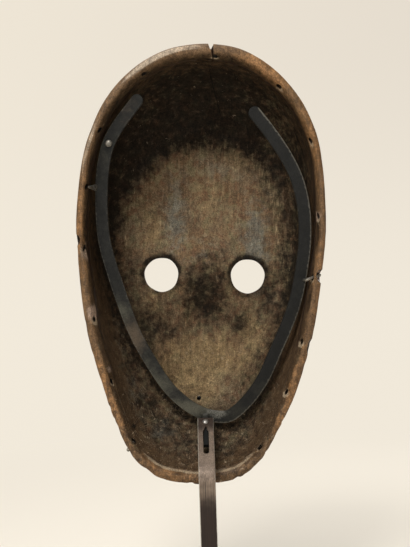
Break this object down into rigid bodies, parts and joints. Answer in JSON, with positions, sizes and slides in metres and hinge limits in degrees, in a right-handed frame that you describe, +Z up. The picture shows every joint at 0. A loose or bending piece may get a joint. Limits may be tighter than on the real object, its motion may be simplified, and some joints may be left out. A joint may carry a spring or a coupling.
{
  "type": "carved face mask on a display stand",
  "caption": "Oval carved wooden face mask, hollow behind, held by a bent steel cradle on a slotted post with a square foot.",
  "frame": {"origin": "centre of the underside of the square foot", "axes": "+Z up, -Y the way the face looks, +Y towards the hollow back and the post"},
  "size_m": [0.1475, 0.12, 0.3378],
  "materials": {
    "carved_wood": "old dark patina, dry and scratched inside, worn paler at the rim",
    "black_steel": "blackened flat bar, satin",
    "worn_steel": "brown-grey satin bar, brushed along its length",
    "bright_steel": "bare dull steel"
  },
  "bodies": {
    "root": {"mask": "carved_wood", "cradle_band": "black_steel", "cradle_rivet": "bright_steel", "cradle_prong_high": "bright_steel", "cradle_prong_notch": "bright_steel", "chin_nail": "bright_steel", "stand_post": "worn_steel", "post_pin": "bright_steel", "foot_plate": "black_steel"}
  },
  "joints": []
}
